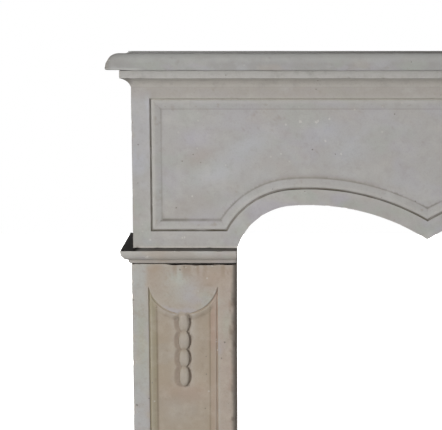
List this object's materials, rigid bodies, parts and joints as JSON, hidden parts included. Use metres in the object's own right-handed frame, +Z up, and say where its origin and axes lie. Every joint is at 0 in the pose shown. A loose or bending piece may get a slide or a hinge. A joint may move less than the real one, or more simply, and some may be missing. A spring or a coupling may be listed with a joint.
{
  "type": "fireplace surround",
  "caption": "Carved limestone fireplace surround with pilaster jambs, moulded capitals, an arched lintel with a sunk panel, and a round-nosed mantel shelf.",
  "frame": {"origin": "on the floor, midway between the two jambs and midway between the wall and the nose of the shelf", "axes": "+X to the right along the wall as seen from the room, +Y from the room into the wall, +Z up"},
  "size_m": [1.3192, 0.218, 1.0802],
  "materials": {
    "cool_limestone": "honed and worn, slightly smoky",
    "grey_limestone": "honed and worn",
    "warm_limestone": "honed and worn, stained beige"
  },
  "bodies": {
    "root": {"mantel_shelf": "cool_limestone", "lintel": "grey_limestone", "capital_left": "grey_limestone", "capital_right": "grey_limestone", "jamb_left": "warm_limestone", "jamb_right": "warm_limestone", "foot_block_left": "warm_limestone", "foot_block_right": "warm_limestone"}
  },
  "joints": []
}
